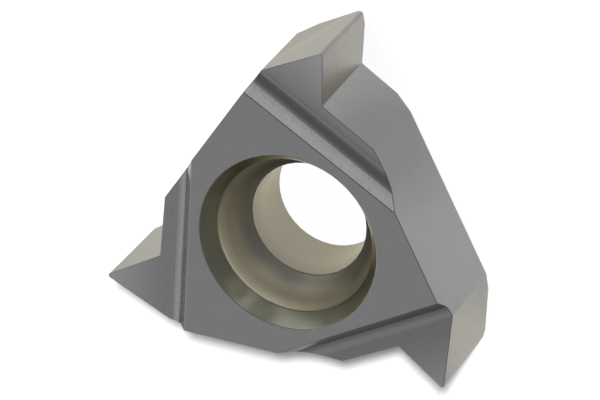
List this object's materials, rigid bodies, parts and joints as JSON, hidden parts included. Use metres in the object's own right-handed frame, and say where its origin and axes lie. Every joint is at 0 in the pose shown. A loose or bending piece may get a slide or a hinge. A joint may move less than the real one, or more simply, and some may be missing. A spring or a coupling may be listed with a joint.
{
  "type": "threading insert",
  "caption": "Triangular indexable insert with a ground thread-form tooth at each corner, a chip groove behind each tooth and a countersunk screw hole, for cutting threads on a lathe.",
  "frame": {"origin": "on the screw hole's axis in the back face that lies on the seat", "axes": "+Z along the hole out of the top face, towards the screw's head; +Y along one tooth, from the hole towards its tip; a side wall faces -X"},
  "size_m": [0.0085, 0.0092, 0.0032],
  "materials": {
    "coated_carbide": "thin dark grey coating on pressed, sintered and ground cemented carbide"
  },
  "bodies": {
    "root": {"threading_insert": "coated_carbide"}
  },
  "joints": []
}
